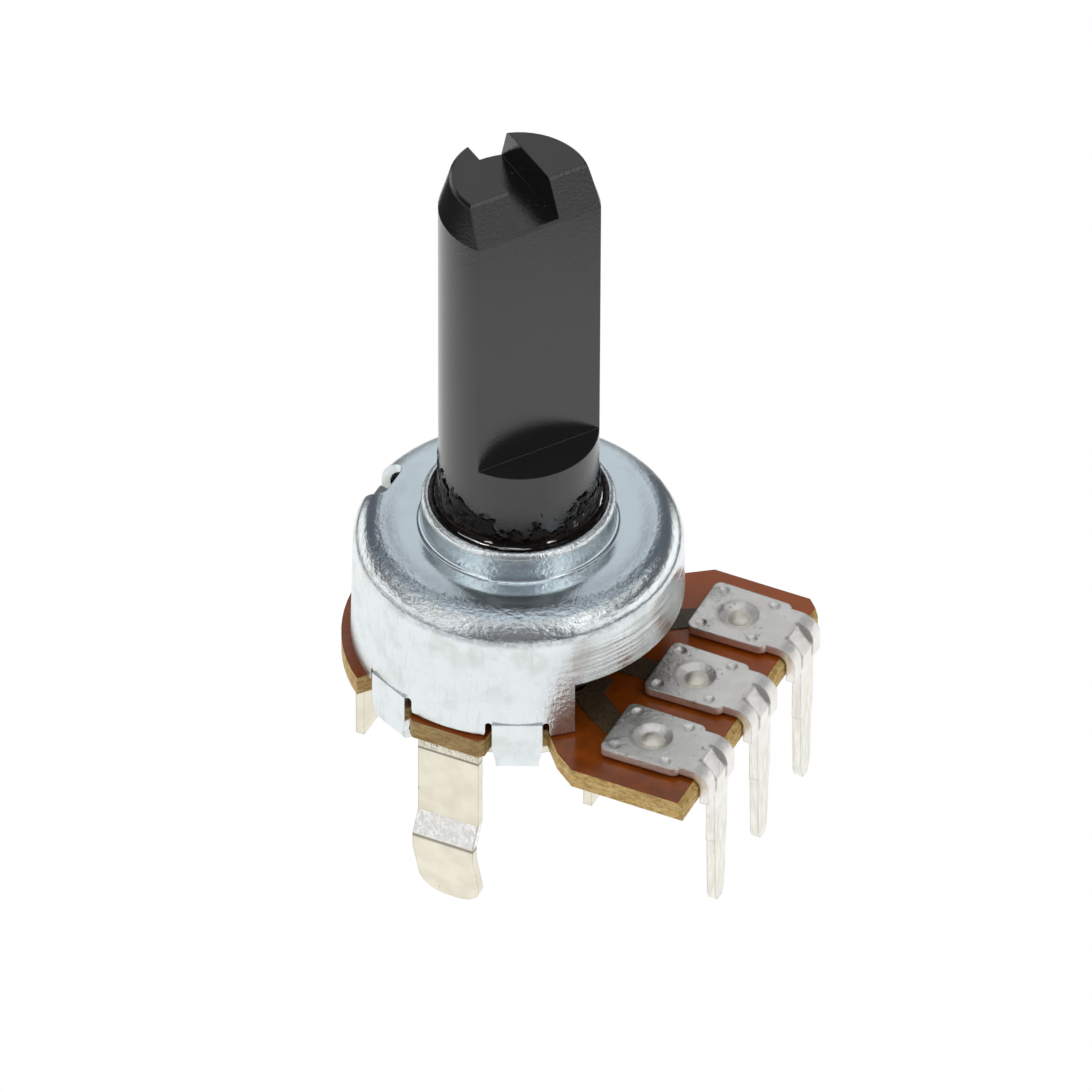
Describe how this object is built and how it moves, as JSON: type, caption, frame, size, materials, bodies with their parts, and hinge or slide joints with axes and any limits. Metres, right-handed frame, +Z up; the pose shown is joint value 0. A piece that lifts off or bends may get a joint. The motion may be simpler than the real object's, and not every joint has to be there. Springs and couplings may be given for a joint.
{
  "type": "rotary potentiometer",
  "caption": "Vertical rotary potentiometer: a drawn metal case with a collar, a D-shaped shaft, a board with riveted terminals and a snap-in base plate.",
  "frame": {"origin": "on the shaft axis, in the plane of the circuit board that the part stands on", "axes": "+Z up the shaft, +X out to the terminals, +Y along the line of the terminals"},
  "size_m": [0.0168, 0.0132, 0.0308],
  "materials": {
    "zinc_case": "zinc-plated drawn steel, satin",
    "black_plastic": "moulded, semi-gloss",
    "grease": "dark stiff grease, wet",
    "rotor_plastic": "moulded, matt",
    "wiper_spring": "spring sheet, satin",
    "phenolic_board": "phenolic laminate, glossy faces and fibrous edges",
    "carbon_print": "carbon film",
    "silver_print": "silver-carbon paste, dull",
    "tinned_terminal": "tinned sheet, satin",
    "rivet_metal": "tinned rivet, satin",
    "tinned_plate": "tinned sheet, matt"
  },
  "bodies": {
    "housing": {"case": "zinc_case", "element_board": "phenolic_board", "resistive_track": "carbon_print", "collector_track": "silver_print", "front_lead": "silver_print", "back_lead": "silver_print", "terminal_front": "tinned_terminal", "terminal_middle": "tinned_terminal", "terminal_back": "tinned_terminal", "rivet_front": "rivet_metal", "rivet_middle": "rivet_metal", "rivet_back": "rivet_metal", "base_plate": "tinned_plate"},
    "spindle": {"shaft": "black_plastic", "damping_grease": "grease", "rotor": "rotor_plastic", "wiper": "wiper_spring"}
  },
  "joints": [
    {"name": "shaft_turn", "type": "hinge", "parent": "housing", "child": "spindle", "pos_m": [0, 0, 0], "axis": [0, 0, 1], "range_deg": [-295, 5]}
  ]
}
